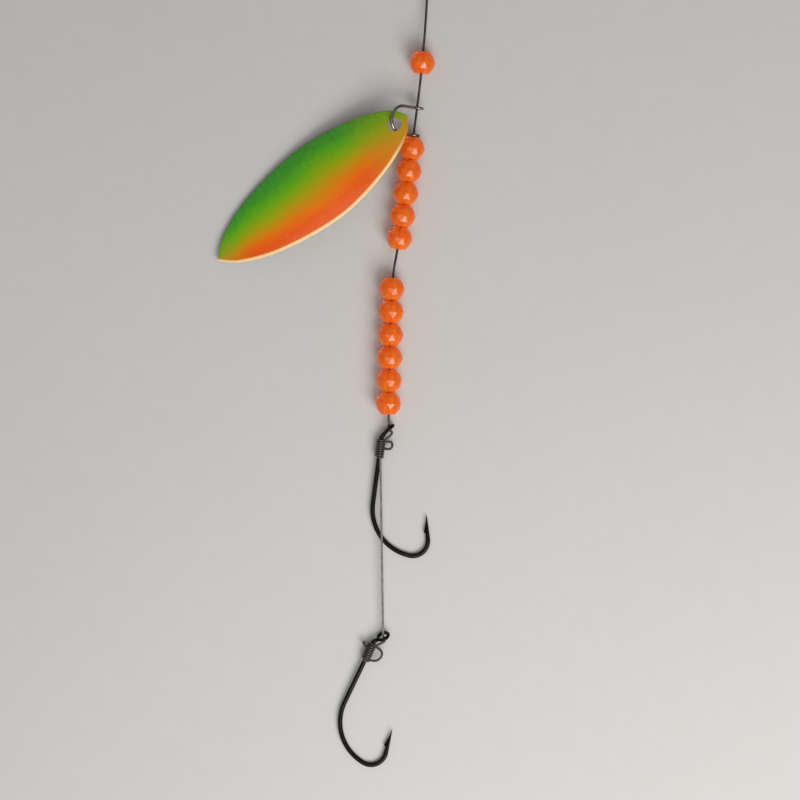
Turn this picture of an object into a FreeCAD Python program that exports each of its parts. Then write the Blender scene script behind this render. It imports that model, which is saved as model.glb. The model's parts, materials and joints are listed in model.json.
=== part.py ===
import FreeCAD, Part
import math
import os

from FreeCAD import Matrix, Placement, Rotation, Vector

os.makedirs("parts", exist_ok=True)

# A spinner rig laid out on a table. All lengths are in millimetres. The table is z = 0, +Y runs
# up the leader towards the rod, and the origin is under the middle of the rig.

# Line
LEADER_D = 0.45
TRAILER_D = 0.40
ARC_SHARE = 0.45            # part of the shorter run that each bend takes up

# Beads
BEAD_D = 4.9
BEAD_LENGTH = 4.05
BEAD_END_D = 2.7
BEAD_SHOULDER_D = 4.2
BEAD_SHOULDER = 1.15        # shoulder row's distance from the belly
BEAD_BORE = 1.3
BEAD_SIDES = 10
UPPER_BEADS, UPPER_PITCH = 5, 4.19
LOWER_BEADS, LOWER_PITCH = 6, 4.23
STACK_START = 0.3           # stacks start this far above their bend in the leader
TOP_BEAD_AT = 7.2           # top bead's centre above its bend in the leader

# Clevis: a wire stirrup with an eye on each end
CLEVIS_WIRE_D = 0.6
CLEVIS_HALF_WIDTH = 2.52
CLEVIS_LEG = 3.0            # line to the centre of the round end
CLEVIS_EYE_D = 2.4
CLEVIS_EYE_BORE = 0.95
CLEVIS_EYE_THICK = 0.5
CLEVIS_GAP = 0.12           # above the first bead
CLEVIS_TILT = 37.1          # the round end is raised by this angle
CLEVIS_SKEW = 2.0           # the wire is bent this far towards the beads

# Blade: a willow leaf
BLADE_LENGTH = 44.15
BLADE_HALF_WIDTH = 7.77
BLADE_THICK = 0.5
BLADE_LONG_RADIUS = 176.0
BLADE_CROSS_RADIUS = 18.8
BLADE_HOLE_D = 2.7
BLADE_HOLE_AT = 2.8         # from the round end
BLADE_YAW = 217.1
BLADE_PITCH = 5.7
BLADE_ROLL = 15.4
BLADE_HOLE_PLACE = (12.5, 52.24, 5.44)

# Hooks: the same but for the rear one's twisted eye
HOOK_WIRE_D = 0.86
HOOK_SHANK = 10.0           # straight shank below the knot
HOOK_BEND_R, HOOK_BEND_TURN = 8.7, 85.0
HOOK_THROAT_R, HOOK_THROAT_TURN = 2.8, 106.0
HOOK_POINT = 4.65
HOOK_TIP_D = 0.06
BARB_HEIGHT, BARB_LENGTH, BARB_AT = 0.38, 1.5, 1.9
EYE_R, EYE_WIRE_D = 1.0, 0.66
EYE_TURN = 40.0             # the eye leans this far towards the point
EYE_BACK, EYE_SIDE = 4.1, 1.15
REAR_EYE_TWIST = 30.0       # the rear hook's eye is twisted about its neck
NECK_R = 1.0
EYE_Z = 1.35
BEND_Z = 0.45

# Snell knots
SNELL_START, SNELL_WRAPS = -2.2, 8
SNELL_FIT = 0.02
LINE_GAP = 0.25             # a line stops this far from the middle of an eye
TRAILER_ALONG, TRAILER_SIDE, TRAILER_LIFT = 1.55, 0.3, 0.7

# Put-away end of the leader
COIL_CENTRE = (29.4, 93.0)
COIL_R = 10.0
COIL_HALF_WIDTH, COIL_HEIGHT, COIL_CORNER = 0.95, 1.66, 0.4
TIE_THICK, TIE_ANGLE, TIE_AT = 0.14, 18.0, -50.0
KNOT_D, KNOT_LENGTH = 1.3, 2.6
LOOP_LENGTH, LOOP_WIDTH = 12.0, 6.4

BEAD_Z = BEAD_D / 2
FRONT_EYE = Vector(11.48, -3.70, EYE_Z)
REAR_EYE = Vector(10.40, -42.00, EYE_Z)
FRONT_HEADING = 7.4
REAR_HEADING = 25.5

# Leader from the front hook's eye to the coil. Its bends are named by what lies above them.
LOWER_STACK_BEND = (11.31, -1.40, BEAD_Z)
GAP_BEND = (12.03, 24.50, BEAD_Z)
UPPER_STACK_BEND = (13.08, 29.10, BEAD_Z)
TOP_BEAD_BEND = (16.89, 56.70, BEAD_Z)
LEADER_ROUTE = [
    tuple(FRONT_EYE),
    LOWER_STACK_BEND,
    GAP_BEND,
    UPPER_STACK_BEND,
    TOP_BEAD_BEND,
    (17.96, 67.30, BEAD_Z),
    (18.50, 75.40, 1.15),
    (18.85, 82.60, 0.27),
    (19.40, 89.60, 0.60),
]
TAIL_ROUTE = [
    (30.20, 102.95, 0.95),
    (34.20, 102.95, 0.40),
    (39.00, 102.20, 0.28),
    (41.60, 99.60, 0.30),
    (42.50, 97.20, 0.62),
]
KNOT_START = Vector(42.50, 97.20, KNOT_D / 2)
KNOT_DIRECTION = Vector(0.90, -2.40, 0).normalize()


def frame(origin, x_axis, y_axis):
    """Placement whose local X and Y run along the two axes given."""
    z_axis = x_axis.cross(y_axis)
    return Placement(Matrix(x_axis.x, y_axis.x, z_axis.x, origin.x,
                            x_axis.y, y_axis.y, z_axis.y, origin.y,
                            x_axis.z, y_axis.z, z_axis.z, origin.z,
                            0, 0, 0, 1))


def placed(shape, placement):
    moved = shape.copy()
    moved.Placement = placement.multiply(moved.Placement)
    return moved


def rounded_path(points):
    """Straight runs joined by tangent arcs, each as large as its two runs allow."""
    corners = [Vector(*point) for point in points]
    edges, radii = [], []
    last = corners[0]
    for before, corner, after in zip(corners, corners[1:], corners[2:]):
        reach = ARC_SHARE * min((before - corner).Length, (after - corner).Length)
        back = (before - corner).normalize()
        ahead = (after - corner).normalize()
        turn = math.pi - back.getAngle(ahead)
        radius = reach / math.tan(turn / 2)
        start, end = corner + back * reach, corner + ahead * reach
        inward = (back + ahead).normalize()
        middle = corner + inward * (radius / math.cos(turn / 2) - radius)
        edges.append(Part.LineSegment(last, start).toShape())
        edges.append(Part.Arc(start, middle, end).toShape())
        radii.append(radius)
        last = end
    edges.append(Part.LineSegment(last, corners[-1]).toShape())
    return Part.Wire(edges), radii


def sweep(path, diameter):
    """Round bar along a path that starts with a straight edge."""
    first, second = (vertex.Point for vertex in path.OrderedVertexes[:2])
    profile = Part.Wire(Part.makeCircle(diameter / 2, first, second - first))
    return path.makePipeShell([profile], True, False)


def tube(name, points, diameter):
    """Free line, with its bend radii and its volume against section times length."""
    path, radii = rounded_path(points)
    solid = sweep(path, diameter)
    expected = math.pi * diameter ** 2 / 4 * path.Length
    print(name, "length %.2f" % path.Length, "radii", ["%.1f" % radius for radius in radii],
          "volume ratio %.4f" % (solid.Volume / expected))
    return solid


def export(name, shape):
    solids = shape.Solids
    if not shape.isValid() or not solids:
        raise ValueError(name + " is not a valid solid")
    shape.exportStep("parts/" + name + ".step")


# ---- beads ---------------------------------------------------------------------------------

def facet(*points):
    return Part.Face(Part.makePolygon(list(points) + [points[0]]))


def bead_shape():
    """Faceted bead about Z: rows of triangles between rings that are half a side apart."""
    rings = [(-BEAD_LENGTH / 2, BEAD_END_D / 2), (-BEAD_SHOULDER, BEAD_SHOULDER_D / 2),
             (0, BEAD_D / 2), (BEAD_SHOULDER, BEAD_SHOULDER_D / 2),
             (BEAD_LENGTH / 2, BEAD_END_D / 2)]
    rows = []
    for row, (height, radius) in enumerate(rings):
        angles = [2 * math.pi * (side + row / 2) / BEAD_SIDES for side in range(BEAD_SIDES)]
        rows.append([Vector(radius * math.cos(a), radius * math.sin(a), height) for a in angles])
    faces = [facet(*rows[0]), facet(*rows[-1])]
    for low, high in zip(rows, rows[1:]):
        for side in range(BEAD_SIDES):
            after = (side + 1) % BEAD_SIDES
            faces.append(facet(low[side], low[after], high[side]))
            faces.append(facet(low[after], high[after], high[side]))
    body = Part.Solid(Part.Shell(faces))
    bore = Part.makeCylinder(BEAD_BORE / 2, BEAD_LENGTH * 2, Vector(0, 0, -BEAD_LENGTH))
    return body.cut(bore)


def line_direction(low, high):
    return (Vector(*high) - Vector(*low)).normalize()


def bead_on_line(bead, low, high, along):
    """Place a bead centred on a straight stretch of the leader."""
    axis = line_direction(low, high)
    centre = Vector(*low) + axis * along
    side = Vector(0, 0, 1).cross(axis)
    return placed(bead, frame(centre, Vector(0, 0, -1), side))


def make_beads():
    bead = bead_shape()
    beads = {"top_bead": bead_on_line(bead, TOP_BEAD_BEND, LEADER_ROUTE[5], TOP_BEAD_AT)}
    stacks = (("upper_bead_", UPPER_BEADS, UPPER_PITCH, UPPER_STACK_BEND, TOP_BEAD_BEND),
              ("lower_bead_", LOWER_BEADS, LOWER_PITCH, LOWER_STACK_BEND, GAP_BEND))
    for prefix, count, pitch, low, high in stacks:
        for number in range(1, count + 1):
            along = STACK_START + pitch * (count - number + 0.5)
            beads[prefix + str(number)] = bead_on_line(bead, low, high, along)
    return beads


# ---- clevis and blade ----------------------------------------------------------------------

def clevis_frame():
    """Local X points out to the round end and local Y up the leader, from the clevis's middle."""
    axis = line_direction(UPPER_STACK_BEND, TOP_BEAD_BEND)
    side = Vector(0, 0, 1).cross(axis)
    tilt = math.radians(CLEVIS_TILT)
    outward = side * math.cos(tilt) + Vector(0, 0, 1) * math.sin(tilt)
    along = (STACK_START + UPPER_BEADS * UPPER_PITCH + CLEVIS_GAP
             + CLEVIS_HALF_WIDTH + CLEVIS_EYE_THICK / 2)
    return frame(Vector(*UPPER_STACK_BEND) + axis * along, outward, axis)


def make_clevis():
    half, leg, root = CLEVIS_HALF_WIDTH, CLEVIS_LEG, CLEVIS_EYE_D / 4
    bow = Part.Wire([
        Part.LineSegment(Vector(root, half, 0), Vector(leg, half, 0)).toShape(),
        Part.Arc(Vector(leg, half, 0), Vector(leg + half, 0, 0), Vector(leg, -half, 0)).toShape(),
        Part.LineSegment(Vector(leg, -half, 0), Vector(root, -half, 0)).toShape(),
    ])
    clevis = sweep(bow, CLEVIS_WIRE_D)
    clevis.rotate(Vector(0, 0, 0), Vector(0, 0, 1), -CLEVIS_SKEW)
    up = Vector(0, 1, 0)
    for level in (half, -half):
        base = Vector(0, level - CLEVIS_EYE_THICK / 2, 0)
        clevis = clevis.fuse(Part.makeCylinder(CLEVIS_EYE_D / 2, CLEVIS_EYE_THICK, base, up))
    bore = Part.makeCylinder(CLEVIS_EYE_BORE / 2, 4 * half, Vector(0, -2 * half, 0), up)
    return placed(clevis.cut(bore).removeSplitter(), clevis_frame())


def blade_outline():
    """Leaf from the round end at x = 0 to the point, as two mirrored curves."""
    half = BLADE_HALF_WIDTH
    shape = ((0, 0), (0.010, 0.12), (0.045, 0.36), (0.18, 0.725), (0.45, 1.0), (0.76, 0.767),
             (0.93, 0.362), (1, 0))
    edges = []
    for mirror in (1, -1):
        points = [Vector(x * BLADE_LENGTH, mirror * y * half, -5) for x, y in shape]
        curve = Part.BSplineCurve()
        curve.interpolate(Points=points)
        edges.append(curve.toShape())
    return Part.Face(Part.Wire(edges)).extrude(Vector(0, 0, 7))


def blade_sheet():
    """Sheet that is round both ways, with its crown at z = 0 over the middle of the leaf."""
    sheet_angle, sweep_angle = math.radians(26), 9.5
    middle = BLADE_LENGTH / 2
    centre_z = -BLADE_CROSS_RADIUS

    def on_arc(radius, angle):
        return Vector(middle, radius * math.sin(angle), centre_z + radius * math.cos(angle))

    outer, inner = BLADE_CROSS_RADIUS, BLADE_CROSS_RADIUS - BLADE_THICK
    section = Part.Face(Part.Wire([
        Part.Arc(on_arc(outer, -sheet_angle), on_arc(outer, 0), on_arc(outer, sheet_angle)).toShape(),
        Part.LineSegment(on_arc(outer, sheet_angle), on_arc(inner, sheet_angle)).toShape(),
        Part.Arc(on_arc(inner, sheet_angle), on_arc(inner, 0), on_arc(inner, -sheet_angle)).toShape(),
        Part.LineSegment(on_arc(inner, -sheet_angle), on_arc(outer, -sheet_angle)).toShape(),
    ]))
    centre, across = Vector(middle, 0, -BLADE_LONG_RADIUS), Vector(0, 1, 0)
    section.rotate(centre, across, -sweep_angle)
    return section.revolve(centre, across, 2 * sweep_angle)


def blade_hole_depth():
    """Height of the sheet's middle at the hole, below the crown."""
    return -(BLADE_LENGTH / 2 - BLADE_HOLE_AT) ** 2 / (2 * BLADE_LONG_RADIUS) - BLADE_THICK / 2


def blade_frame():
    turn = (Rotation(Vector(0, 0, 1), BLADE_YAW) * Rotation(Vector(0, 1, 0), BLADE_PITCH)
            * Rotation(Vector(1, 0, 0), BLADE_ROLL))
    hole = Vector(BLADE_HOLE_AT, 0, blade_hole_depth())
    return Placement(Vector(*BLADE_HOLE_PLACE) - turn.multVec(hole), turn)


def blade_hole_axis():
    """Direction of the hole in the leaf's own frame: square to the sheet there."""
    slope = math.asin((BLADE_LENGTH / 2 - BLADE_HOLE_AT) / BLADE_LONG_RADIUS)
    return Vector(-math.sin(slope), 0, math.cos(slope))


def make_blade():
    leaf = blade_outline().common(blade_sheet())
    axis = blade_hole_axis()
    start = Vector(BLADE_HOLE_AT, 0, blade_hole_depth()) - axis * 3
    leaf = leaf.cut(Part.makeCylinder(BLADE_HOLE_D / 2, 6, start, axis))
    return placed(leaf, blade_frame())


# ---- hooks and snell knots -----------------------------------------------------------------

def hook_frame(eye, heading):
    """Local X runs down the shank from the knot and local Y towards the point."""
    drop = math.asin((EYE_Z - BEND_Z) / (EYE_BACK + HOOK_SHANK + HOOK_BEND_R))
    heading = math.radians(heading)
    down = Vector(-math.sin(heading) * math.cos(drop), -math.cos(heading) * math.cos(drop),
                  -math.sin(drop))
    towards_point = Vector(math.cos(heading), -math.sin(heading), 0)
    return frame(eye + down * EYE_BACK - towards_point * EYE_SIDE, down, towards_point)


def eye_direction():
    turn = math.radians(EYE_TURN)
    return Vector(-math.cos(turn), math.sin(turn), 0)


def arc_after(start, direction, radius, turn):
    """Arc that starts along a direction and turns towards its left, and its end direction."""
    left = Vector(-direction.y, direction.x, 0)
    centre = start + left * radius

    def at(angle):
        return centre + direction * (radius * math.sin(angle)) - left * (radius * math.cos(angle))

    turn = math.radians(turn)
    end_direction = direction * math.cos(turn) + left * math.sin(turn)
    return Part.Arc(start, at(turn / 2), at(turn)).toShape(), at(turn), end_direction


def make_hook(eye_twist):
    eye = Vector(-EYE_BACK, EYE_SIDE, 0)
    out = eye_direction()
    corner = eye - out * (EYE_SIDE / out.y)
    neck_start = eye - out * EYE_R
    reach = NECK_R * math.tan(math.radians(EYE_TURN) / 2)
    into_neck = corner + out * reach
    neck, neck_end, _ = arc_after(into_neck, -out, NECK_R, EYE_TURN)
    shank_end = Vector(HOOK_SHANK, 0, 0)
    bend, bend_end, along = arc_after(shank_end, Vector(1, 0, 0), HOOK_BEND_R, HOOK_BEND_TURN)
    throat, throat_end, along = arc_after(bend_end, along, HOOK_THROAT_R, HOOK_THROAT_TURN)
    path = Part.Wire([
        Part.LineSegment(neck_start, into_neck).toShape(),
        neck,
        Part.LineSegment(neck_end, shank_end).toShape(),
        bend,
        throat,
    ])
    radius = HOOK_WIRE_D / 2
    hook = sweep(path, HOOK_WIRE_D)
    ring_axis = Rotation(out, eye_twist).multVec(out.cross(Vector(0, 0, 1)))
    hook = hook.fuse(Part.makeTorus(EYE_R, EYE_WIRE_D / 2, eye, ring_axis))
    hook = hook.fuse(Part.makeCone(radius, HOOK_TIP_D / 2, HOOK_POINT, throat_end, along))
    inward = Vector(-along.y, along.x, 0)
    foot = throat_end + along * BARB_AT
    barb_wire = Part.makePolygon([
        foot + along * BARB_LENGTH,
        foot + inward * (radius * 0.6 + BARB_HEIGHT),
        foot + along * 0.25,
        foot + along * BARB_LENGTH,
    ])
    barb = Part.Face(barb_wire).extrude(Vector(0, 0, 0.3))
    barb.translate(Vector(0, 0, -0.15))
    return hook.fuse(barb).removeSplitter()


def wraps_shape():
    """Touching turns of line round the shank, as one ribbed sleeve."""
    inner = HOOK_WIRE_D / 2 + SNELL_FIT
    middle = inner + LEADER_D / 2
    end = SNELL_START + SNELL_WRAPS * LEADER_D
    edges = [Part.LineSegment(Vector(SNELL_START, inner, 0), Vector(SNELL_START, middle, 0))]
    for wrap in range(SNELL_WRAPS):
        start = SNELL_START + wrap * LEADER_D
        edges.append(Part.Arc(Vector(start, middle, 0),
                              Vector(start + LEADER_D / 2, inner + LEADER_D, 0),
                              Vector(start + LEADER_D, middle, 0)))
    edges.append(Part.LineSegment(Vector(end, middle, 0), Vector(end, inner, 0)))
    edges.append(Part.LineSegment(Vector(end, inner, 0), Vector(SNELL_START, inner, 0)))
    face = Part.Face(Part.Wire([edge.toShape() for edge in edges]))
    return face.revolve(Vector(0, 0, 0), Vector(1, 0, 0), 360)


def make_snell(loop, tag):
    """Wraps, the strand from the eye, the bait loop at the side and, on one hook, a cut end."""
    eye = Vector(-EYE_BACK, EYE_SIDE, 0)
    through = Vector(0, 0, 1).cross(eye_direction()) * -1
    strand, _ = rounded_path([eye + through * LINE_GAP, eye + through * 0.85,
                              Vector(-2.55, 1.45, 0), Vector(SNELL_START + 0.25, 0.78, 0)])
    snell = wraps_shape().fuse(sweep(strand, LEADER_D))
    bait_loop, _ = rounded_path(loop)
    snell = snell.fuse(sweep(bait_loop, LEADER_D))
    if tag:
        stub, _ = rounded_path(tag)
        snell = snell.fuse(sweep(stub, LEADER_D))
    return snell.removeSplitter()


FRONT_LOOP = [(-1.55, 0.75, 0.1), (-2.05, 1.75, 0.15), (-1.15, 2.30, 0.2), (-0.25, 1.75, 0.15),
              (-0.45, 0.75, 0.1)]
REAR_LOOP = [(-1.75, 0.75, 0.1), (-1.75, 2.10, 0.15), (-0.45, 2.60, 0.2), (0.75, 1.90, 0.15),
             (0.95, 0.75, 0.1)]
REAR_TAG = [(-0.90, -0.75, 0.1), (-1.10, -1.25, 0.15), (-1.75, -1.75, 0.1)]


def make_hooks():
    front, rear = hook_frame(FRONT_EYE, FRONT_HEADING), hook_frame(REAR_EYE, REAR_HEADING)
    return {
        "front_hook": placed(make_hook(0), front),
        "rear_hook": placed(make_hook(REAR_EYE_TWIST), rear),
        "front_snell": placed(make_snell(FRONT_LOOP, None), front),
        "rear_snell": placed(make_snell(REAR_LOOP, REAR_TAG), rear),
    }


# ---- line ----------------------------------------------------------------------------------

def trailer_start():
    local = Vector(TRAILER_ALONG, TRAILER_SIDE, 0)
    return hook_frame(FRONT_EYE, FRONT_HEADING).multVec(local) + Vector(0, 0, TRAILER_LIFT)


def stopped_short(end, neighbour):
    """End point of a line that stops a little before the middle of an eye."""
    return end + (neighbour - end).normalize() * LINE_GAP


def coil_section(grow):
    """Outline of the bundle of turns, flattened at its corners, in the XZ plane."""
    half, corner = COIL_HALF_WIDTH + grow, COIL_CORNER
    low, high = TIE_THICK - grow, TIE_THICK + COIL_HEIGHT + grow
    outline = [(-half, low + corner), (-half + corner, low), (half - corner, low),
               (half, low + corner), (half, high - corner), (half - corner, high),
               (-half + corner, high), (-half, high - corner)]
    return Part.Face(Part.makePolygon([Vector(COIL_R + x, 0, z) for x, z in outline + outline[:1]]))


def make_coil():
    axis = Vector(0, 0, 1)
    coil = coil_section(0).revolve(Vector(0, 0, 0), axis, 360)
    band = coil_section(TIE_THICK).cut(coil_section(0))
    tie = band.revolve(Vector(0, 0, 0), axis, TIE_ANGLE)
    tie.rotate(Vector(0, 0, 0), axis, TIE_AT)
    for shape in (coil, tie):
        shape.translate(Vector(*COIL_CENTRE, 0))
    return coil, tie


def make_loop():
    """End loop in its knot: a leaf-shaped ring of line that starts and ends in the knot."""
    half = LOOP_WIDTH / 2
    inside = 0.8
    points = [(KNOT_LENGTH - inside, 0.22, 0), (KNOT_LENGTH + 2.4, 0.9, 0),
              (KNOT_LENGTH + 0.38 * LOOP_LENGTH, half, -0.10),
              (KNOT_LENGTH + 0.72 * LOOP_LENGTH, 0.92 * half, -0.25),
              (KNOT_LENGTH + LOOP_LENGTH, 0.45 * half, -0.35)]
    mirrored = [(x, -y, z) for x, y, z in reversed(points)]
    path, radii = rounded_path(points + mirrored)
    print("end_loop length %.2f" % path.Length, "radii", ["%.1f" % radius for radius in radii])
    across = Vector(0, 0, 1).cross(KNOT_DIRECTION)
    place = frame(KNOT_START, KNOT_DIRECTION, across)
    knot = Part.makeCylinder(KNOT_D / 2, KNOT_LENGTH, Vector(0, 0, 0), Vector(1, 0, 0))
    knot = knot.makeFillet(0.35, [edge for edge in knot.Edges if len(edge.Vertexes) == 1])
    return placed(sweep(path, LEADER_D), place), placed(knot, place)


def make_lines():
    leader_end = stopped_short(FRONT_EYE, Vector(*LOWER_STACK_BEND))
    start = trailer_start()
    coil, tie = make_coil()
    loop, knot = make_loop()
    return {
        "leader_line": tube("leader_line", [tuple(leader_end)] + LEADER_ROUTE[1:], LEADER_D),
        "leader_tail": tube("leader_tail", TAIL_ROUTE, LEADER_D),
        "trailer_line": tube("trailer_line", [start, stopped_short(REAR_EYE, start)], TRAILER_D),
        "leader_coil": coil,
        "coil_tie": tie,
        "end_loop": loop,
        "loop_knot": knot,
    }


nodes = make_beads()
nodes["clevis"] = make_clevis()
nodes["blade"] = make_blade()
nodes.update(make_hooks())
nodes.update(make_lines())
for name, shape in nodes.items():
    export(name, shape)
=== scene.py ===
import json
import math
import random

import bmesh
import bpy
from mathutils import Matrix, Vector, noise


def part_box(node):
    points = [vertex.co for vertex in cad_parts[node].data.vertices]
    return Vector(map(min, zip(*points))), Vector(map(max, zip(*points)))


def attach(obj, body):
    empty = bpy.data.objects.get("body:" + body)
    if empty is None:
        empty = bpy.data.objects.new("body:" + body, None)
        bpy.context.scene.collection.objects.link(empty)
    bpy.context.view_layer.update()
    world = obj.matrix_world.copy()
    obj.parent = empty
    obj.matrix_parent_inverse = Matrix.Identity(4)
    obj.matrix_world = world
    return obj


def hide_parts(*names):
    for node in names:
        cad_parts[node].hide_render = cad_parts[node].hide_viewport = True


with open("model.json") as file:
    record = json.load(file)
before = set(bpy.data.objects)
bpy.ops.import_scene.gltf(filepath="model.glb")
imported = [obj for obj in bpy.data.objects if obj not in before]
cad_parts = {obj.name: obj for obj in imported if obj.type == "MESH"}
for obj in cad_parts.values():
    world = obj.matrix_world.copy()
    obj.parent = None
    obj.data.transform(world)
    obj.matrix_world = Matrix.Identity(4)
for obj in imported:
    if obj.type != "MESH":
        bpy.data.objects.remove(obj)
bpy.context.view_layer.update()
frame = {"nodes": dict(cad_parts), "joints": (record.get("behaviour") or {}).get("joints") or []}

# A spinner rig lying on a table, seen from straight above. Blender's unit is the metre. Shapes are
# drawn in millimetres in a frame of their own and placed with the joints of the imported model.
MM = 0.001
JOINTS = {joint["name"]: joint for joint in frame["joints"]}
UP = Vector((0, 0, 1))

# Camera: straight above the middle of the layout
VIEW_CENTRE = (0.01352, 0.00167)
VIEW_WIDTH = 0.14815
CAMERA_HEIGHT = 0.62
SENSOR = 36.0

# Line
LEADER_D = 0.00045
TRAILER_D = 0.00040
BEAD_Z = 0.00245
LOWER_STACK_BEND = (0.01131, -0.00140, BEAD_Z)
GAP_BEND = (0.01203, 0.02450, BEAD_Z)
UPPER_STACK_BEND = (0.01308, 0.02910, BEAD_Z)
TOP_BEAD_BEND = (0.01689, 0.05670, BEAD_Z)
PAST_TOP_BEAD = (0.01796, 0.06730, BEAD_Z)
LEADER_ROUTE = [
    (0.01148, -0.00370, 0.00135),
    LOWER_STACK_BEND,
    GAP_BEND,
    UPPER_STACK_BEND,
    TOP_BEAD_BEND,
    PAST_TOP_BEAD,
    (0.01850, 0.07540, 0.00115),
    (0.01885, 0.08260, 0.00027),
    (0.01940, 0.08960, 0.00060),
]
TAIL_ROUTE = [
    (0.03420, 0.10295, 0.00040),
    (0.03900, 0.10220, 0.00028),
    (0.04160, 0.09960, 0.00030),
    (0.04250, 0.09720, 0.00062),
]
COIL_CENTRE = (0.0294, 0.0930)
COIL_R = 0.0100
COIL_FLOOR = 0.00014        # thickness of the tape under the coil
COIL_ROWS = ((0.45, 0.0, -0.45), (-0.675, -0.225, 0.225, 0.675),
             (0.675, 0.225, -0.225, -0.675), (-0.45, 0.0, 0.45))
ROW_RISE = 0.39             # height between rows of touching turns
COIL_POINTS = 24            # points in each turn
KNOT_START = (0.04250, 0.09720, 0.00065)
KNOT_HEADING = (0.351, -0.936, 0.0)
KNOT_LENGTH = 2.6
LOOP_LENGTH, LOOP_WIDTH = 12.0, 6.4

# Beads
BEAD_D, BEAD_LENGTH, BEAD_END_D, BEAD_SHOULDER_D = 4.9, 4.05, 2.7, 4.2
BEAD_SHOULDER, BEAD_BORE, BEAD_SIDES, BEAD_BEVEL = 1.15, 1.3, 10, 0.13

# Clevis
CLEVIS_WIRE_D, CLEVIS_HALF_WIDTH, CLEVIS_LEG, CLEVIS_TILT, CLEVIS_SKEW = 0.6, 2.52, 3.0, 37.1, 2.0
CLEVIS_EYE_D, CLEVIS_EYE_BORE, CLEVIS_EYE_THICK = 2.4, 0.95, 0.5

# Blade
BLADE_LENGTH, BLADE_HALF_WIDTH, BLADE_THICK = 44.15, 7.77, 0.5
BLADE_LONG_RADIUS, BLADE_CROSS_RADIUS = 176.0, 18.8
BLADE_HOLE_D, BLADE_HOLE_AT = 2.7, 2.8
BLADE_YAW, BLADE_PITCH, BLADE_ROLL = 217.1, 5.7, 15.4
BLADE_OUTLINE = ((0, 0), (0.010, 0.12), (0.045, 0.36), (0.18, 0.725), (0.45, 1.0), (0.76, 0.767),
                 (0.93, 0.362), (1, 0))
BLADE_ROWS, BLADE_COLUMNS = 150, 30

# Hooks
HOOK_WIRE_D, HOOK_SHANK = 0.86, 10.0
HOOK_BEND_R, HOOK_BEND_TURN = 8.7, 85.0
HOOK_THROAT_R, HOOK_THROAT_TURN = 2.8, 106.0
HOOK_POINT, HOOK_TIP_D = 4.65, 0.06
BARB_HEIGHT, BARB_FROM, BARB_TO = 0.36, 2.0, 3.4
EYE_R, EYE_WIRE_D, EYE_TURN, EYE_BACK, EYE_SIDE = 1.0, 0.66, 40.0, 4.1, 1.15
EYE_CENTRE = Vector((-EYE_BACK, EYE_SIDE, 0))
EYE_OUT = Vector((-math.cos(math.radians(EYE_TURN)), math.sin(math.radians(EYE_TURN)), 0))
EYE_Z, BEND_Z = 1.35, 0.45
NECK_R = 1.0
EYE_TWIST = {"front": 0.0, "rear": 30.0}
HOOK_HEADINGS = {"front": 7.4, "rear": 25.5}

# Snell knots, in a hook's frame
SNELL_START, SNELL_WRAPS, SNELL_FIT, LINE_D = -2.2, 8, 0.02, 0.45
SNELL_LOOPS = {
    "front": [(-1.55, 0.75, 0.1), (-2.05, 1.75, 0.15), (-1.15, 2.30, 0.2), (-0.25, 1.75, 0.15),
              (-0.45, 0.75, 0.1)],
    "rear": [(-1.75, 0.75, 0.1), (-1.75, 2.10, 0.15), (-0.45, 2.60, 0.2), (0.75, 1.90, 0.15),
             (0.95, 0.75, 0.1)],
}
REAR_TAG = [(-0.90, -0.75, 0.1), (-1.10, -1.25, 0.15), (-1.75, -1.75, 0.1)]


def local_frame(origin, x_axis, y_axis):
    """Matrix from a frame in millimetres, with its X and Y along two directions, to the model."""
    x_axis, y_axis = Vector(x_axis).normalized(), Vector(y_axis).normalized()
    columns = Matrix((x_axis, y_axis, x_axis.cross(y_axis))).transposed()
    return Matrix.Translation(origin) @ columns.to_4x4() @ Matrix.Scale(MM, 4)


def add_mesh(name, vertices, faces, matrix=None):
    mesh = bpy.data.meshes.new(name)
    mesh.from_pydata([matrix @ Vector(v) if matrix else v for v in vertices], [], faces)
    mesh.update()
    piece = bpy.data.objects.new(name, mesh)
    bpy.context.collection.objects.link(piece)
    return piece


def smooth_shade(piece, sharp_angle=None):
    mesh = piece.data
    mesh.polygons.foreach_set("use_smooth", [True] * len(mesh.polygons))
    if sharp_angle:
        mesh.set_sharp_from_angle(angle=math.radians(sharp_angle))


def apply_modifiers(piece):
    """Replace a piece's mesh with the result of its modifiers."""
    evaluated = piece.evaluated_get(bpy.context.evaluated_depsgraph_get())
    mesh = bpy.data.meshes.new_from_object(evaluated)
    piece.modifiers.clear()
    piece.data = mesh


def cut(piece, tool):
    modifier = piece.modifiers.new("cut", "BOOLEAN")
    modifier.operation = "DIFFERENCE"
    modifier.solver = "EXACT"
    modifier.object = tool
    apply_modifiers(piece)
    bpy.data.objects.remove(tool)


def cylinder(radius, start, end, sides=48):
    """Closed cylinder between two points, for cutting."""
    axis = (end - start).normalized()
    side = axis.orthogonal().normalized()
    across = axis.cross(side)
    rings = []
    for centre in (start, end):
        for step in range(sides):
            angle = 2 * math.pi * step / sides
            rings.append(centre + (side * math.cos(angle) + across * math.sin(angle)) * radius)
    faces = [tuple(range(sides))[::-1], tuple(range(sides, 2 * sides))]
    for step in range(sides):
        after = (step + 1) % sides
        faces.append((step, after, sides + after, sides + step))
    return add_mesh("cutter", rings, faces)


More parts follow.
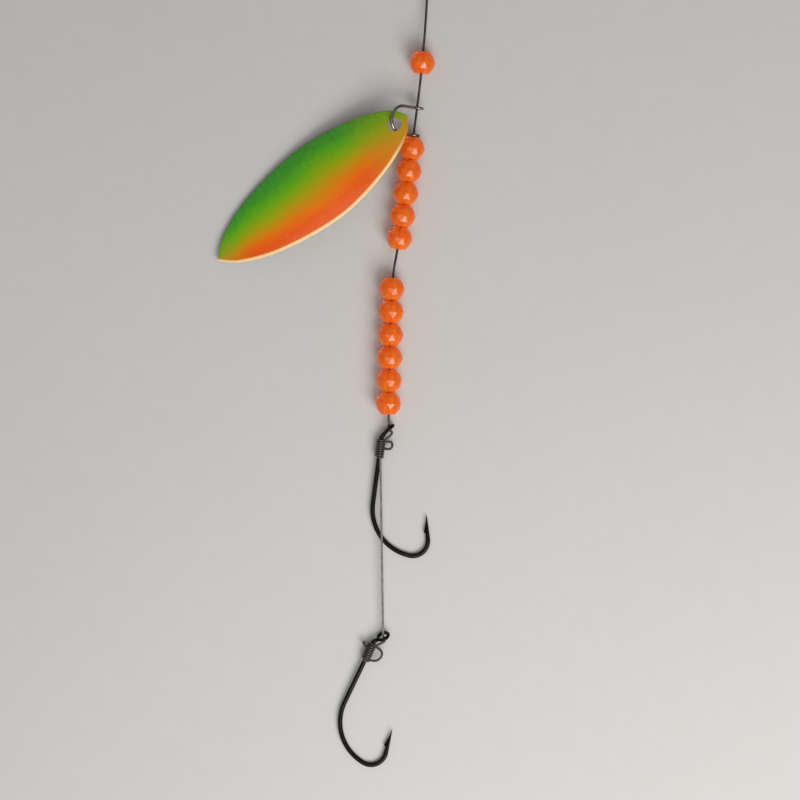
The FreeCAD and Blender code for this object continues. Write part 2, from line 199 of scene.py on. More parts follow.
def swept(name, path, radii, matrix, sides=24, bump=None):
    """Round bar along a dense path, with its own radius at each point and closed ends.

    bump(point number, direction) adds to the radius in that direction.
    """
    points = [Vector(p) for p in path]
    count = len(points)
    tangents = [(points[min(i + 1, count - 1)] - points[max(i - 1, 0)]).normalized()
                for i in range(count)]
    side = tangents[0].orthogonal().normalized()
    vertices, faces = [], []
    for i, (point, tangent) in enumerate(zip(points, tangents)):
        side = (side - tangent * side.dot(tangent)).normalized()
        across = tangent.cross(side)
        for step in range(sides):
            angle = 2 * math.pi * step / sides
            direction = side * math.cos(angle) + across * math.sin(angle)
            radius = radii[i] + (bump(i, direction) if bump else 0)
            vertices.append(point + direction * radius)
    for i in range(count - 1):
        for step in range(sides):
            after = (step + 1) % sides
            low, high = i * sides, (i + 1) * sides
            faces.append((low + step, low + after, high + after, high + step))
    faces.append(tuple(range(sides))[::-1])
    faces.append(tuple(range((count - 1) * sides, count * sides)))
    piece = add_mesh(name, vertices, faces, matrix)
    smooth_shade(piece, 50)
    return piece


def line_curve(name, points, diameter, matrix=None):
    """Line of one smooth spline with these control points."""
    data = bpy.data.curves.new(name, "CURVE")
    data.dimensions = "3D"
    data.resolution_u = 6
    data.bevel_depth = 1.0       # times each point's radius, which a curve's box takes in too
    data.bevel_resolution = 5
    data.use_fill_caps = True
    spline = data.splines.new("NURBS")
    spline.points.add(len(points) - 1)
    for slot, point in zip(spline.points, points):
        place = matrix @ Vector(point) if matrix else Vector(point)
        slot.co, slot.radius = (*place, 1), diameter / 2
    spline.order_u = 3
    spline.use_endpoint_u = True
    piece = bpy.data.objects.new(name, data)
    bpy.context.collection.objects.link(piece)
    return piece


def finished(piece, body, slot, material, *nodes):
    """Ride on a body, take a finish and stand for the CAD nodes named."""
    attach(piece, body)
    if nodes:
        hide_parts(*nodes)
    if not piece.data.materials:
        piece.data.materials.append(material)
    return piece


# ---- materials -----------------------------------------------------------------------------

class Finish:
    """A material with one Principled shader and small helpers for its textures."""

    def __init__(self, name, **sockets):
        self.material = bpy.data.materials.new(name)
        self.material.use_nodes = True
        self.nodes = self.material.node_tree.nodes
        self.link = self.material.node_tree.links.new
        self.shader = self.nodes["Principled BSDF"]
        for socket, value in sockets.items():
            self.shader.inputs[socket.replace("_", " ")].default_value = value
        self.place = self.nodes.new("ShaderNodeTexCoord").outputs["Object"]

    def noise(self, scale, detail=3.0, roughness=0.5, place=None):
        node = self.nodes.new("ShaderNodeTexNoise")
        node.inputs["Scale"].default_value = scale
        node.inputs["Detail"].default_value = detail
        node.inputs["Roughness"].default_value = roughness
        self.link(place or self.place, node.inputs["Vector"])
        return node.outputs["Fac"]

    def ramp(self, fac, *stops):
        """Colour that runs between stops, given as (position, colour) pairs."""
        node = self.nodes.new("ShaderNodeValToRGB")
        elements = node.color_ramp.elements
        while len(elements) < len(stops):
            elements.new(0.5)
        for element, (at, colour) in zip(elements, stops):
            element.position = at
            element.color = (*colour, 1)
        self.link(fac, node.inputs["Fac"])
        return node.outputs["Color"]

    def grey(self, fac, low, high, start=0.0, end=1.0):
        """Value scaled from start..end to low..high."""
        node = self.nodes.new("ShaderNodeMapRange")
        for socket, value in (("From Min", start), ("From Max", end),
                              ("To Min", low), ("To Max", high)):
            node.inputs[socket].default_value = value
        self.link(fac, node.inputs["Value"])
        return node.outputs["Result"]

    def mix(self, fac, first, second, blend="MIX"):
        node = self.nodes.new("ShaderNodeMix")
        node.data_type = "RGBA"
        node.blend_type = blend
        for socket, value in ((0, fac), (6, first), (7, second)):
            if isinstance(value, (int, float)):
                node.inputs[socket].default_value = value
            elif isinstance(value, tuple):
                node.inputs[socket].default_value = (*value, 1)
            else:
                self.link(value, node.inputs[socket])
        return node.outputs[2]

    def math(self, operation, first, second=0.0):
        node = self.nodes.new("ShaderNodeMath")
        node.operation = operation
        for socket, value in enumerate((first, second)):
            if isinstance(value, (int, float)):
                node.inputs[socket].default_value = value
            else:
                self.link(value, node.inputs[socket])
        return node.outputs[0]

    def to(self, socket, value):
        self.link(value, self.shader.inputs[socket])

    def bump(self, height, distance, strength=1.0):
        node = self.nodes.new("ShaderNodeBump")
        node.inputs["Distance"].default_value = distance
        node.inputs["Strength"].default_value = strength
        self.link(height, node.inputs["Height"])
        self.link(node.outputs["Normal"], self.shader.inputs["Normal"])


def greys(*stops):
    """Stops of a ramp between greys, from (position, level) pairs."""
    return [(at, (level, level, level)) for at, level in stops]


def bead_plastic():
    """Clear fluorescent orange plastic, a little cloudy inside, with a faint painted glow."""
    finish = Finish("bead_plastic", Transmission_Weight=0.62, IOR=1.40, Specular_IOR_Level=0.5,
                    Coat_Weight=0.25, Coat_Roughness=0.08)
    cloud = finish.noise(520, 4)
    finish.to("Base Color", finish.ramp(cloud, (0.3, (1.0, 0.215, 0.004)),
                                        (0.7, (1.0, 0.300, 0.012))))
    # Painted glow: a faint orange emission stands in for the plastic's fluorescence.
    finish.to("Emission Color", finish.ramp(cloud, (0.3, (1.0, 0.10, 0.002)),
                                            (0.7, (1.0, 0.16, 0.004))))
    finish.shader.inputs["Emission Strength"].default_value = 0.08
    finish.to("Roughness", finish.grey(finish.noise(1400, 3), 0.10, 0.24, 0.3, 0.7))
    finish.bump(finish.noise(900, 2), 0.00004, 0.35)
    return finish.material


def nickel():
    """Nickel wire, dull and tarnished."""
    finish = Finish("clevis_nickel", Metallic=1.0)
    tarnish = finish.noise(700, 5, 0.6)
    finish.to("Base Color", finish.ramp(tarnish, (0.35, (0.10, 0.080, 0.055)),
                                        (0.6, (0.34, 0.30, 0.24))))
    finish.to("Roughness", finish.grey(tarnish, 0.36, 0.20, 0.3, 0.7))
    finish.bump(finish.noise(2600, 4), 0.00003, 0.4)
    return finish.material


def hook_black():
    """Black nickel over steel, thinner and browner in patches."""
    finish = Finish("hook_black_nickel", Metallic=0.6, Specular_IOR_Level=0.2, Coat_Weight=0.05,
                    Coat_Roughness=0.25)
    patches = finish.noise(450, 5, 0.6)
    finish.to("Base Color", finish.ramp(patches, (0.38, (0.005, 0.0045, 0.004)),
                                        (0.62, (0.012, 0.010, 0.008)),
                                        (0.78, (0.045, 0.036, 0.027))))
    finish.to("Roughness", finish.grey(finish.noise(1500, 4), 0.28, 0.46, 0.3, 0.7))
    finish.bump(finish.noise(3500, 3), 0.00002, 0.35)
    return finish.material


def monofilament(name, dark, light, transmission):
    """Nylon line: tinted, glossy, with faint lengthwise unevenness."""
    finish = Finish(name, Transmission_Weight=transmission, IOR=1.53)
    uneven = finish.noise(600, 4)
    finish.to("Base Color", finish.ramp(uneven, (0.35, dark), (0.65, light)))
    finish.to("Roughness", finish.grey(finish.noise(1800, 3), 0.18, 0.34, 0.3, 0.7))
    finish.bump(finish.noise(4000, 2), 0.00001, 0.3)
    return finish.material


def paper_tape():
    """Off-white paper with a fine fibre."""
    finish = Finish("paper_tape")
    fibre = finish.noise(2500, 6, 0.7)
    finish.to("Base Color", finish.ramp(fibre, (0.3, (0.66, 0.64, 0.58)),
                                        (0.7, (0.80, 0.79, 0.74))))
    finish.to("Roughness", finish.grey(fibre, 0.75, 0.95))
    finish.bump(fibre, 0.00004, 0.6)
    return finish.material


def blade_paint():
    """Green over orange, blended along the middle and the ends, with a cream band along the orange
    edge, a painted highlight where that edge catches the light.

    The leaf's UV map gives the place along it in U and the place across it in V.
    """
    finish = Finish("blade_paint", Metallic=0.0, Specular_IOR_Level=0.2, Coat_Weight=0.10,
                    Coat_Roughness=0.10)
    uv = finish.nodes.new("ShaderNodeUVMap")
    uv.uv_map = "leaf"
    split = finish.nodes.new("ShaderNodeSeparateXYZ")
    finish.link(uv.outputs["UV"], split.inputs["Vector"])
    along, across = split.outputs["X"], split.outputs["Y"]
    drift = finish.grey(finish.noise(110, 3), -0.045, 0.045, 0.3, 0.7)
    place = finish.math("ADD", across, drift)
    body = finish.ramp(place, (0.0, (0.085, 0.42, 0.050)), (0.14, (0.075, 0.45, 0.026)),
                       (0.28, (0.140, 0.52, 0.010)), (0.40, (0.25, 0.49, 0.004)),
                       (0.52, (0.43, 0.40, 0.003)), (0.63, (0.66, 0.28, 0.003)),
                       (0.74, (0.86, 0.17, 0.003)), (0.84, (0.84, 0.105, 0.003)),
                       (1.0, (0.76, 0.090, 0.003)))
    ends = finish.ramp(along, *greys((0.0, 1), (0.10, 0.85), (0.28, 0), (0.86, 0), (0.96, 0.8),
                                     (1.0, 1)))
    olive = finish.ramp(place, (0.1, (0.24, 0.44, 0.012)), (0.5, (0.40, 0.36, 0.012)),
                        (0.9, (0.60, 0.28, 0.012)))
    painted = finish.mix(ends, body, olive)

    # Painted reflection: darker streaks across the green side stand in for the room reflected in
    # the hammered metal.
    grain = finish.nodes.new("ShaderNodeVectorMath")
    grain.operation = "MULTIPLY"
    grain.inputs[1].default_value = (70, 9, 1)
    finish.link(uv.outputs["UV"], grain.inputs[0])
    reflection_streaks = finish.noise(1.0, 5, 0.62, grain.outputs[0])
    shade = finish.ramp(reflection_streaks, *greys((0.38, 0.74), (0.56, 1)))
    green_side = finish.ramp(across, *greys((0.05, 1), (0.50, 0)))
    painted = finish.mix(finish.math("MULTIPLY", green_side, 0.75), painted, shade, "MULTIPLY")
    # Painted highlights: small pale flecks stand in for glints of the light on the textured paint.
    highlight_flecks = finish.ramp(finish.noise(2400, 2), *greys((0.66, 0), (0.74, 1)))
    painted = finish.mix(finish.math("MULTIPLY", highlight_flecks, 0.28), painted, (0.42, 0.60, 0.12))
    # Painted highlight: a cream band on the orange edge only. It is the bare metal edge, painted
    # bright as the light it catches on the lit side.
    width = finish.ramp(along, *greys(*BLADE_OUTLINE))
    inset = finish.math("MULTIPLY", finish.math("SUBTRACT", 1.0, across), width)
    rim_highlight = finish.ramp(inset, *greys((0.026, 1), (0.038, 0)))
    rim_highlight = finish.math("MULTIPLY", rim_highlight, finish.ramp(along, *greys((0.05, 0), (0.14, 1))))
    finish.to("Base Color", finish.mix(rim_highlight, painted, (0.92, 0.64, 0.30)))
    finish.to("Roughness", finish.grey(finish.noise(1200, 4), 0.24, 0.40, 0.3, 0.7))
    finish.bump(finish.noise(1500, 3), 0.00003, 0.35)
    return finish.material


def blade_back():
    """Unpainted nickel-plated back, with faint rolling lines."""
    finish = Finish("blade_back", Metallic=1.0)
    wear = finish.noise(500, 5, 0.6)
    finish.to("Base Color", finish.ramp(wear, (0.3, (0.55, 0.53, 0.49)), (0.7, (0.72, 0.70, 0.66))))
    finish.to("Roughness", finish.grey(wear, 0.34, 0.20, 0.3, 0.7))
    finish.bump(finish.noise(1800, 4), 0.00003, 0.3)
    return finish.material


def table_top():
    """Pale matt table with a faint speck and cloud."""
    finish = Finish("table_top", Roughness=0.62)
    speck = finish.noise(260, 6, 0.65)
    cloud = finish.noise(7, 3)
    specks = finish.ramp(speck, (0.3, (0.565, 0.555, 0.540)), (0.7, (0.590, 0.582, 0.568)))
    clouds = finish.ramp(cloud, (0.3, (0.560, 0.552, 0.538)), (0.7, (0.600, 0.590, 0.575)))
    finish.to("Base Color", finish.mix(0.5, specks, clouds))
    finish.bump(speck, 0.00004, 0.3)
    return finish.material


# ---- camera, light and table ---------------------------------------------------------------

def make_camera():
    """Camera looking straight down, with plain photographic tones."""
    bpy.context.scene.view_settings.view_transform = "Standard"
    data = bpy.data.cameras.new("camera")
    data.sensor_width = SENSOR
    data.lens = SENSOR * CAMERA_HEIGHT / VIEW_WIDTH
    data.clip_start, data.clip_end = 0.005, 20
    camera = bpy.data.objects.new("camera", data)
    camera.location = (*VIEW_CENTRE, CAMERA_HEIGHT)
    bpy.context.collection.objects.link(camera)
    bpy.context.scene.camera = camera


def area_light(name, place, target, size, power, colour):
    data = bpy.data.lights.new(name, "AREA")
    data.shape = "DISK"
    data.size, data.energy, data.color = size, power, colour
    light = bpy.data.objects.new(name, data)
    light.location = place
    light.rotation_euler = (Vector(target) - Vector(place)).to_track_quat("-Z", "Y").to_euler()
    bpy.context.collection.objects.link(light)


def make_setting():
    """Table, a soft window low on the right, a ceiling light and a dim room."""
    half = 1.2
    corners = [(-half, -half, 0), (half, -half, 0), (half, half, 0), (-half, half, 0)]
    floor = add_mesh("table", corners, [(0, 1, 2, 3)])
    floor.data.materials.append(table_top())
    area_light("window", (0.17, -0.25, 0.30), (0.015, -0.01, 0), 0.28, 1.26, (1.0, 0.968, 0.950))
    area_light("ceiling", (0.05, -0.35, 0.80), (0.0, 0.0, 0), 0.7, 2.3, (0.985, 0.99, 0.98))
    world = bpy.data.worlds.new("room")
    world.use_nodes = True
    background = world.node_tree.nodes["Background"]
    background.inputs["Color"].default_value = (0.86, 0.87, 0.86, 1)
    background.inputs["Strength"].default_value = 0.31
    bpy.context.scene.world = world


# ---- line ----------------------------------------------------------------------------------

def coil_points():
    """Turns beside and on each other, from the coil's left round to its top."""
    slots = [(COIL_R + offset * MM, COIL_FLOOR + LEADER_D / 2 + row * ROW_RISE * MM)
             for row, offsets in enumerate(COIL_ROWS) for offset in offsets]
    points = []
    steps = COIL_POINTS * (len(slots) - 1) + COIL_POINTS // 4
    for step in range(steps + 1):
        turn = min(step / COIL_POINTS, len(slots) - 1)
        slot = min(int(turn), len(slots) - 2)
        share = turn - slot
        radius, height = (a + (b - a) * share for a, b in zip(slots[slot], slots[slot + 1]))
        angle = math.pi - 2 * math.pi * step / COIL_POINTS
        points.append((COIL_CENTRE[0] + radius * math.cos(angle),
                       COIL_CENTRE[1] + radius * math.sin(angle), height))
    return points


def make_lines():
    """All of the leader and the trailing line. Returns the leader's finish, for the knots."""
    smoke = monofilament("leader_mono", (0.030, 0.023, 0.018), (0.075, 0.060, 0.045), 0.25)
    clear = monofilament("trailer_mono", (0.20, 0.195, 0.185), (0.34, 0.33, 0.31), 0.35)
    tape = paper_tape()

    place = local_frame(KNOT_START, KNOT_HEADING, UP.cross(Vector(KNOT_HEADING)))
    half = LOOP_WIDTH / 2
    side = [(KNOT_LENGTH - 0.8, 0.22, 0), (KNOT_LENGTH + 2.4, 0.9, 0),
            (KNOT_LENGTH + 0.38 * LOOP_LENGTH, half, -0.10),
            (KNOT_LENGTH + 0.72 * LOOP_LENGTH, 0.92 * half, -0.25),
            (KNOT_LENGTH + LOOP_LENGTH, 0.45 * half, -0.35)]
    loop = line_curve("end_loop_line", side + [(x, -y, z) for x, y, z in reversed(side)],
                      LEADER_D, place)
    finished(loop, "leader", "leader_mono", smoke, "end_loop")

    turns, per_turn = 5, 14
    core, height = 0.42, KNOT_LENGTH - 0.5
    wraps = []
    for step in range(turns * per_turn + 1):
        angle = 2 * math.pi * step / per_turn
        wraps.append((0.25 + height * step / (turns * per_turn), core * math.cos(angle),
                      core * math.sin(angle)))
    knot = line_curve("loop_knot_wraps", wraps, LEADER_D, place)
    finished(knot, "leader", "leader_mono", smoke, "loop_knot")

    leader = line_curve("leader", LEADER_ROUTE + coil_points() + TAIL_ROUTE, LEADER_D)
    finished(leader, "leader", "leader_mono", smoke, "leader_line", "leader_coil", "leader_tail")
    tie = make_tie(tape)

    start, end = (Vector(JOINTS[name]["pos_m"]) for name in ("trailer_swing", "rear_hook_swing"))
    middle = (start + end) / 2      # a spline of order 3 needs a third point
    trailer = line_curve("trailer", [start, middle, end], TRAILER_D)
    finished(trailer, "trailer", "trailer_mono", clear, "trailer_line")
    return smoke


def make_tie(tape):
    """Strip of tape round the bundle of turns, a little rounded at its corners."""
    half, height, corner, thick = 0.95, 1.66, 0.42, 0.12
    low, high = COIL_FLOOR / MM, COIL_FLOOR / MM + height
    middle = (low + high) / 2

    def outline(grow):
        points = []
        for sign_x, sign_z, start in ((1, 1, 0), (-1, 1, 90), (-1, -1, 180), (1, -1, 270)):
            for step in range(6):
                angle = math.radians(start + 90 * step / 5)
                points.append((sign_x * (half - corner) + (corner + grow) * math.cos(angle),
                               middle + sign_z * (height / 2 - corner)
                               + (corner + grow) * math.sin(angle)))
        return points

    rings = 12
    start, sweep = -50.0, 18.0
    outer, inner = outline(thick), outline(0.01)
    count = len(outer)
    vertices, faces = [], []
    for ring in range(rings + 1):
        angle = math.radians(start + sweep * ring / rings)
        for points in (outer, inner):
            for x, z in points:
                radius = COIL_R / MM + x
                vertices.append((radius * math.cos(angle), radius * math.sin(angle), z))
    for ring in range(rings):
        for step in range(count):
            after = (step + 1) % count
            a, b = ring * 2 * count, (ring + 1) * 2 * count
            faces.append((a + step, b + step, b + after, a + after))
            faces.append((a + count + step, a + count + after, b + count + after, b + count + step))
    for base, flip in ((0, False), (rings * 2 * count, True)):
        for step in range(count):
            after = (step + 1) % count
            face = (base + step, base + after, base + count + after, base + count + step)
            faces.append(face[::-1] if flip else face)
    place = local_frame((*COIL_CENTRE, 0), (1, 0, 0), (0, 1, 0))
    tie = add_mesh("coil_tape", vertices, faces, place)
    smooth_shade(tie, 40)
    return finished(tie, "leader", "tie_tape", tape, "coil_tie")


# ---- beads ---------------------------------------------------------------------------------

def bead_mesh():
    """Faceted bead about Z with softened edges and a bore, in millimetres."""
    rings = ((-BEAD_LENGTH / 2, BEAD_END_D / 2), (-BEAD_SHOULDER, BEAD_SHOULDER_D / 2),
             (0, BEAD_D / 2), (BEAD_SHOULDER, BEAD_SHOULDER_D / 2),
             (BEAD_LENGTH / 2, BEAD_END_D / 2))
    solid = bmesh.new()
    rows = []
    for row, (height, radius) in enumerate(rings):
        angles = [2 * math.pi * (side + row / 2) / BEAD_SIDES for side in range(BEAD_SIDES)]
        rows.append([solid.verts.new((radius * math.cos(a), radius * math.sin(a), height))
                     for a in angles])
    solid.faces.new(rows[0][::-1])
    solid.faces.new(rows[-1])
    for low, high in zip(rows, rows[1:]):
        for side in range(BEAD_SIDES):
            after = (side + 1) % BEAD_SIDES
            solid.faces.new((low[side], low[after], high[side]))
            solid.faces.new((low[after], high[after], high[side]))
    bmesh.ops.bevel(solid, geom=list(solid.edges), offset=BEAD_BEVEL, segments=2, profile=0.6,
                    affect="EDGES", clamp_overlap=True)
    mesh = bpy.data.meshes.new("bead")
    solid.to_mesh(mesh)
    solid.free()
    bead = bpy.data.objects.new("bead", mesh)
    bpy.context.collection.objects.link(bead)
    cut(bead, cylinder(BEAD_BORE / 2, Vector((0, 0, -4)), Vector((0, 0, 4)), 40))
    mesh = bead.data
    bpy.data.objects.remove(bead)
    return mesh


def make_beads():
    """One bead on each bead node, each turned its own way about the line."""
    random.seed(7)
    shape, plastic = bead_mesh(), bead_plastic()
    stretches = {
        "top": (TOP_BEAD_BEND, PAST_TOP_BEAD),
        "upper": (UPPER_STACK_BEND, TOP_BEAD_BEND),
        "lower": (LOWER_STACK_BEND, GAP_BEND),
    }
    for node in sorted(frame["nodes"]):
        if "bead" not in node:
            continue
        low, high = stretches[node.split("_")[0]]
        axis = (Vector(high) - Vector(low)).normalized()
        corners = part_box(node)
        centre = (Vector(corners[0]) + Vector(corners[1])) / 2
        place = local_frame(centre, UP.cross(axis).cross(axis), UP.cross(axis))
        turn = Matrix.Rotation(random.uniform(0, math.pi), 4, "Z")
        mesh = shape.copy()
        mesh.transform(place @ turn)
        bead = bpy.data.objects.new(node + "_facets", mesh)
        bpy.context.collection.objects.link(bead)
        finished(bead, node, "bead", plastic, node)


# ---- clevis --------------------------------------------------------------------------------

def make_clevis():
    """Bent wire stirrup whose ends are flattened into eyes."""
    joint = JOINTS["clevis_spin"]
    axis = Vector(joint["axis"])
    tilt = math.radians(CLEVIS_TILT)
    outward = UP.cross(axis).normalized() * math.cos(tilt) + UP * math.sin(tilt)
    place = local_frame(joint["pos_m"], outward, axis)
    half, leg = CLEVIS_HALF_WIDTH, CLEVIS_LEG
    root = CLEVIS_EYE_D / 4
    path = [(root + (leg - root) * step / 12, half, 0) for step in range(12)]
    for step in range(49):
        angle = math.pi / 2 - math.pi * step / 48
        path.append((leg + half * math.cos(angle), half * math.sin(angle), 0))
    path += [(leg - (leg - root) * (step + 1) / 12, -half, 0) for step in range(12)]
    skew = Matrix.Rotation(math.radians(-CLEVIS_SKEW), 3, "Z")
    path = [skew @ Vector(point) for point in path]
    bow = swept("clevis_bow", path, [CLEVIS_WIRE_D / 2] * len(path), None, 20)
    eyes = [washer(level) for level in (half, -half)]
    bpy.ops.object.select_all(action="DESELECT")
    for part in [bow] + eyes:
        part.select_set(True)
    bpy.context.view_layer.objects.active = bow
    bpy.ops.object.join()
    remesh = bow.modifiers.new("fuse", "REMESH")
    remesh.mode = "VOXEL"
    remesh.voxel_size = 0.055
    soften = bow.modifiers.new("soften", "SMOOTH")
    soften.iterations = 6
    soften.factor = 0.5
    apply_modifiers(bow)
    bow.data.transform(place)
    smooth_shade(bow)
    bow.name = "clevis_wire"
    return finished(bow, "clevis", "clevis_wire", nickel(), "clevis")


def washer(level):
    """Flattened end of the wire round the line's hole, with rounded edges."""
    inner, outer = CLEVIS_EYE_BORE / 2, CLEVIS_EYE_D / 2
    middle, spread, rise = (inner + outer) / 2, (outer - inner) / 2, CLEVIS_EYE_THICK / 2
    around, section = 48, 16
    vertices, faces = [], []
    for step in range(around):
        angle = 2 * math.pi * step / around
        for corner in range(section):
            turn = 2 * math.pi * corner / section
            radius = middle + spread * math.copysign(abs(math.cos(turn)) ** 0.5, math.cos(turn))
            height = rise * math.copysign(abs(math.sin(turn)) ** 0.5, math.sin(turn))
            vertices.append((radius * math.cos(angle), level + height, radius * math.sin(angle)))
    for step in range(around):
        after = (step + 1) % around
        for corner in range(section):
            beside = (corner + 1) % section
            faces.append((step * section + corner, after * section + corner,
                          after * section + beside, step * section + beside))
    return add_mesh("clevis_eye", vertices, faces)


# ---- blade ---------------------------------------------------------------------------------

def outline_curve(samples):
    """Points along one edge of the leaf: a smooth curve through the outline's points."""
    knots = [Vector((x * BLADE_LENGTH, y * BLADE_HALF_WIDTH)) for x, y in BLADE_OUTLINE]
    padded = [Vector((knots[1].x, -knots[1].y))] + knots + [knots[-1] * 2 - knots[-2]]
    spans = len(knots) - 1
    points = []
    for sample in range(samples + 1):
        at = spans * sample / samples
        span = min(int(at), spans - 1)
        t = at - span
        p0, p1, p2, p3 = padded[span:span + 4]
        d1 = (p1 - p0).length ** 0.5
        d2 = (p2 - p1).length ** 0.5
        d3 = (p3 - p2).length ** 0.5
        m1 = ((p1 - p0) / d1 - (p2 - p0) / (d1 + d2) + (p2 - p1) / d2) * d2
        m2 = ((p2 - p1) / d2 - (p3 - p1) / (d2 + d3) + (p3 - p2) / d3) * d2
        points.append(p1 * (2 * t ** 3 - 3 * t ** 2 + 1) + m1 * (t ** 3 - 2 * t ** 2 + t)
                      + p2 * (-2 * t ** 3 + 3 * t ** 2) + m2 * (t ** 3 - t ** 2))
    return points


def sheet_point(x, y, lift):
    """Point of the doubly curved sheet, lifted from its middle surface, with its crown at z = 0."""
    dx = x - BLADE_LENGTH / 2
    middle_radius = BLADE_CROSS_RADIUS - BLADE_THICK / 2
    drop = BLADE_CROSS_RADIUS - math.sqrt(middle_radius ** 2 - y ** 2)
    middle = math.sqrt((BLADE_LONG_RADIUS - drop) ** 2 - dx ** 2) - BLADE_LONG_RADIUS
    normal = Vector((dx / BLADE_LONG_RADIUS, y / BLADE_CROSS_RADIUS, 1)).normalized()
    dimple = 0.018 * noise.noise(Vector((x * 0.55, y * 0.8, 3.1)))
    return Vector((x, y, middle + dimple)) + normal * lift


def make_blade():
    """Leaf of sheet metal with a rolled-over edge, painted on top and bare beneath."""
    rows = outline_curve(BLADE_ROWS)
    columns = [math.sin(math.pi / 2 * step / BLADE_COLUMNS)
               for step in range(-BLADE_COLUMNS, BLADE_COLUMNS + 1)]
    leaf = bmesh.new()
    layer = leaf.loops.layers.uv.new("leaf")
    grid = {}
    places = {}

    def corner(row, column, side):
        edge = row in (0, len(rows) - 1) or abs(columns[column]) >= 1
        if row in (0, len(rows) - 1):
            column = 0
        key = (row, column, 0 if edge else side)
        if key not in grid:
            x, half = rows[row]
            y = half * columns[column] if 0 < row < len(rows) - 1 else 0
            inset = min(half - abs(y), x, BLADE_LENGTH - x) / 0.32
            lift = BLADE_THICK / 2 * math.sqrt(max(0.0, 1 - (1 - min(inset, 1.0)) ** 2))
            grid[key] = leaf.verts.new(sheet_point(x, y, lift * side))
            places[grid[key]] = (x / BLADE_LENGTH, y)
        return grid[key]

    for side in (1, -1):
        for row in range(len(rows) - 1):
            for column in range(len(columns) - 1):
                around = [corner(row, column, side), corner(row + 1, column, side),
                          corner(row + 1, column + 1, side), corner(row, column + 1, side)]
                ring = []
                for vertex in around:
                    if vertex not in ring:
                        ring.append(vertex)
                if len(ring) < 3:
                    continue
                face = leaf.faces.new(ring if side == 1 else ring[::-1])
                face.material_index = 0 if side == 1 else 1
                for loop in face.loops:
                    along, y = places[loop.vert]
                    half = max(half_width_at(rows, along * BLADE_LENGTH), 0.35)
                    loop[layer].uv = (along, 0.5 + 0.5 * y / half)
    bmesh.ops.recalc_face_normals(leaf, faces=leaf.faces)
    mesh = bpy.data.meshes.new("blade_leaf")
    leaf.to_mesh(mesh)
    leaf.free()
    blade = bpy.data.objects.new("blade_leaf", mesh)
    bpy.context.collection.objects.link(blade)
    mesh.materials.append(blade_paint())
    mesh.materials.append(blade_back())

    slope = (BLADE_LENGTH / 2 - BLADE_HOLE_AT) / BLADE_LONG_RADIUS
    hole_axis = Vector((-math.sin(slope), 0, math.cos(slope)))
    depth = -(BLADE_LENGTH / 2 - BLADE_HOLE_AT) ** 2 / (2 * BLADE_LONG_RADIUS) - BLADE_THICK / 2
    hole = Vector((BLADE_HOLE_AT, 0, depth))
    cut(blade, cylinder(BLADE_HOLE_D / 2, hole - hole_axis * 3, hole + hole_axis * 3, 64))
    turn = (Matrix.Rotation(math.radians(BLADE_YAW), 4, "Z")
            @ Matrix.Rotation(math.radians(BLADE_PITCH), 4, "Y")
            @ Matrix.Rotation(math.radians(BLADE_ROLL), 4, "X"))
    place = (Matrix.Translation(JOINTS["blade_swing"]["pos_m"]) @ turn @ Matrix.Scale(MM, 4)
             @ Matrix.Translation(-hole))
    blade.data.transform(place)
    smooth_shade(blade, 40)
    return finished(blade, "blade", "blade_paint", None, "blade")


def half_width_at(rows, x):
    """Half of the leaf's width at a distance from its round end."""
    for low, high in zip(rows, rows[1:]):
        if low.x <= x <= high.x:
            share = (x - low.x) / max(high.x - low.x, 1e-9)
            return low.y + (high.y - low.y) * share
    return 0.0


# ---- hooks and snell knots -----------------------------------------------------------------

def hook_place(which):
    """Frame of a hook: X down its shank from the knot and Y towards its point."""
    eye = Vector(JOINTS[which + "_hook_swing"]["pos_m"])
    drop = math.asin((EYE_Z - BEND_Z) / (EYE_BACK + HOOK_SHANK + HOOK_BEND_R))
    heading = math.radians(HOOK_HEADINGS[which])
    down = Vector((-math.sin(heading) * math.cos(drop), -math.cos(heading) * math.cos(drop),
                   -math.sin(drop)))
    point = Vector((math.cos(heading), -math.sin(heading), 0))
    origin = eye + down * EYE_BACK * MM - point * EYE_SIDE * MM
    return local_frame(origin, down, point)


def hook_path(eye_twist):
    """Centreline of the wire from the end of the eye to the point, and the point's direction."""
    out, eye = EYE_OUT, EYE_CENTRE
    ring_up = Matrix.Rotation(math.radians(eye_twist), 3, out) @ UP
    points = []
    for step in range(61):
        angle = math.radians(-152 + 300 * step / 60)
        points.append(eye + out * (EYE_R * math.cos(angle)) + ring_up * (EYE_R * math.sin(angle)))
    corner = eye - out * (EYE_SIDE / out.y)
    reach = NECK_R * math.tan(math.radians(EYE_TURN) / 2)
    joint = points[-1]
    knots = [joint, eye - out * (EYE_R + 0.06) + ring_up * 0.20, corner + out * (reach + 0.02),
             corner + Vector((reach, 0, 0))]
    for step in range(1, 24):
        points.append(bezier(knots, step / 24))
    shank_start, shank_end = knots[-1], Vector((HOOK_SHANK, 0, 0))
    points += [shank_start.lerp(shank_end, step / 70) for step in range(70)]
    place, heading = shank_end, Vector((1, 0, 0))
    for radius, turn, steps in ((HOOK_BEND_R, HOOK_BEND_TURN, 60),
                                (HOOK_THROAT_R, HOOK_THROAT_TURN, 48)):
        left = Vector((-heading.y, heading.x, 0))
        centre = place + left * radius
        for step in range(steps):
            angle = math.radians(turn) * step / steps
            points.append(centre + heading * (radius * math.sin(angle))
                          - left * (radius * math.cos(angle)))
        angle = math.radians(turn)
        place = centre + heading * (radius * math.sin(angle)) - left * (radius * math.cos(angle))
        heading = heading * math.cos(angle) + left * math.sin(angle)
    tip = place + heading * HOOK_POINT
    points += [place.lerp(tip, step / 90) for step in range(91)]
    return points, heading


def bezier(knots, t):
    a, b, c, d = knots
    return (a * (1 - t) ** 3 + b * (3 * t * (1 - t) ** 2) + c * (3 * t ** 2 * (1 - t))
            + d * t ** 3)


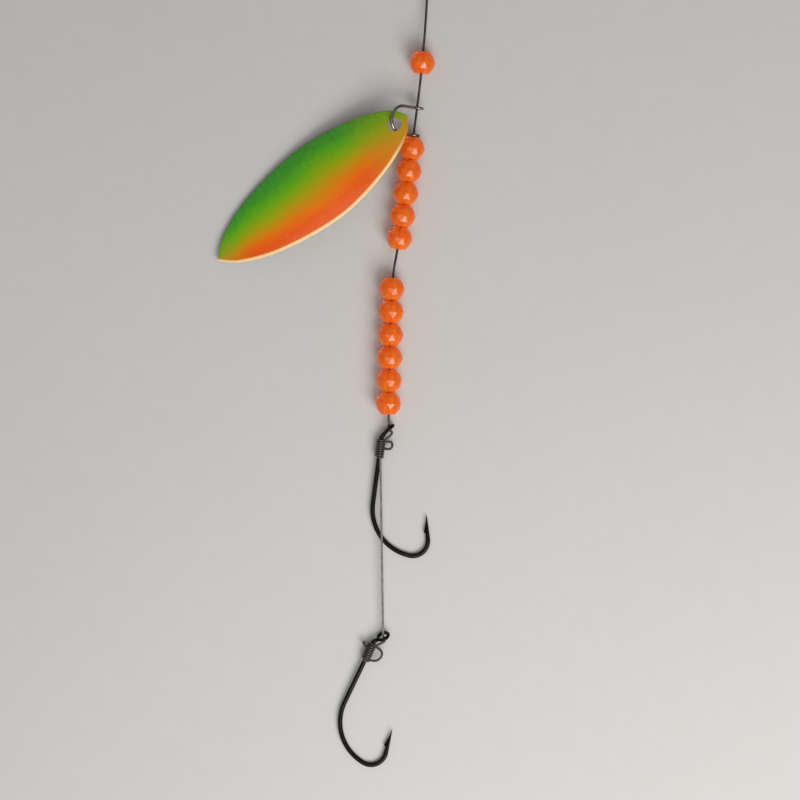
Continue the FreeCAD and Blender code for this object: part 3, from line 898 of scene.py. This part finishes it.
def make_hook(which, steel):
    """Hook of one wire: thinner at the eye, with a barb and tapered to its point."""
    path, heading = hook_path(EYE_TWIST[which])
    distances = [0.0]
    for before, point in zip(path, path[1:]):
        distances.append(distances[-1] + (point - before).length)
    total = distances[-1]
    wire, eye_wire = HOOK_WIRE_D / 2, EYE_WIRE_D / 2
    eye_length = 2 * math.pi * EYE_R * 300 / 360
    radii = []
    for distance in distances:
        to_tip = total - distance
        swell = min(max((distance - eye_length) / 1.4, 0), 1)
        radius = eye_wire + (wire - eye_wire) * swell
        if to_tip < HOOK_POINT:
            radius = HOOK_TIP_D / 2 + (wire - HOOK_TIP_D / 2) * (to_tip / HOOK_POINT) ** 0.72
        radii.append(radius)
    inward = Vector((-heading.y, heading.x, 0))

    def barb(i, direction):
        to_tip = total - distances[i]
        if not BARB_FROM - 1.1 < to_tip < BARB_TO:
            return 0.0
        rise = min((to_tip - BARB_FROM + 1.1) / (BARB_TO - 0.25 - BARB_FROM + 1.1), 1)
        fall = min((BARB_TO - to_tip) / 0.12, 1)
        return BARB_HEIGHT * rise ** 1.6 * fall * max(direction.dot(inward), 0) ** 7

    hook = swept(which + "_hook_wire", path, radii, hook_place(which), 28, barb)
    return finished(hook, which + "_hook", "hook_steel", steel, which + "_hook")


def make_snell(which, line):
    """Touching turns round the shank, the strand that comes through the eye and the side loop."""
    place = hook_place(which)
    through, eye = EYE_OUT.cross(UP), EYE_CENTRE
    body, diameter = which + "_hook", LINE_D * MM
    radius = HOOK_WIRE_D / 2 + SNELL_FIT + LINE_D / 2
    per_turn = 16
    helix = []
    for step in range(int((SNELL_WRAPS - 0.6) * per_turn)):
        angle = 2 * math.pi * step / per_turn
        helix.append((SNELL_START + LINE_D / 2 + LINE_D * step / per_turn, radius * math.cos(angle),
                      radius * math.sin(angle)))
    wraps = line_curve(which + "_snell_wraps", helix, diameter, place)
    finished(wraps, body, "leader_mono", line, which + "_snell")
    strand = line_curve(which + "_snell_strand",
                        [eye, eye + through * 0.55, eye + through * 0.95, (-2.75, 1.45, 0.05),
                         (-2.2, 0.86, 0.1), (-1.7, 0.62, 0.1)], diameter, place)
    finished(strand, body, "leader_mono", line)
    loop = line_curve(which + "_bait_loop", SNELL_LOOPS[which], diameter, place)
    finished(loop, body, "leader_mono", line)
    if which == "rear":
        tag = line_curve("rear_snell_tag", REAR_TAG, diameter, place)
        finished(tag, body, "leader_mono", line)


make_camera()
knot_line = make_lines()
make_beads()
make_clevis()
make_blade()
black = hook_black()
for hook_name in ("front", "rear"):
    make_hook(hook_name, black)
    make_snell(hook_name, knot_line)
make_setting()
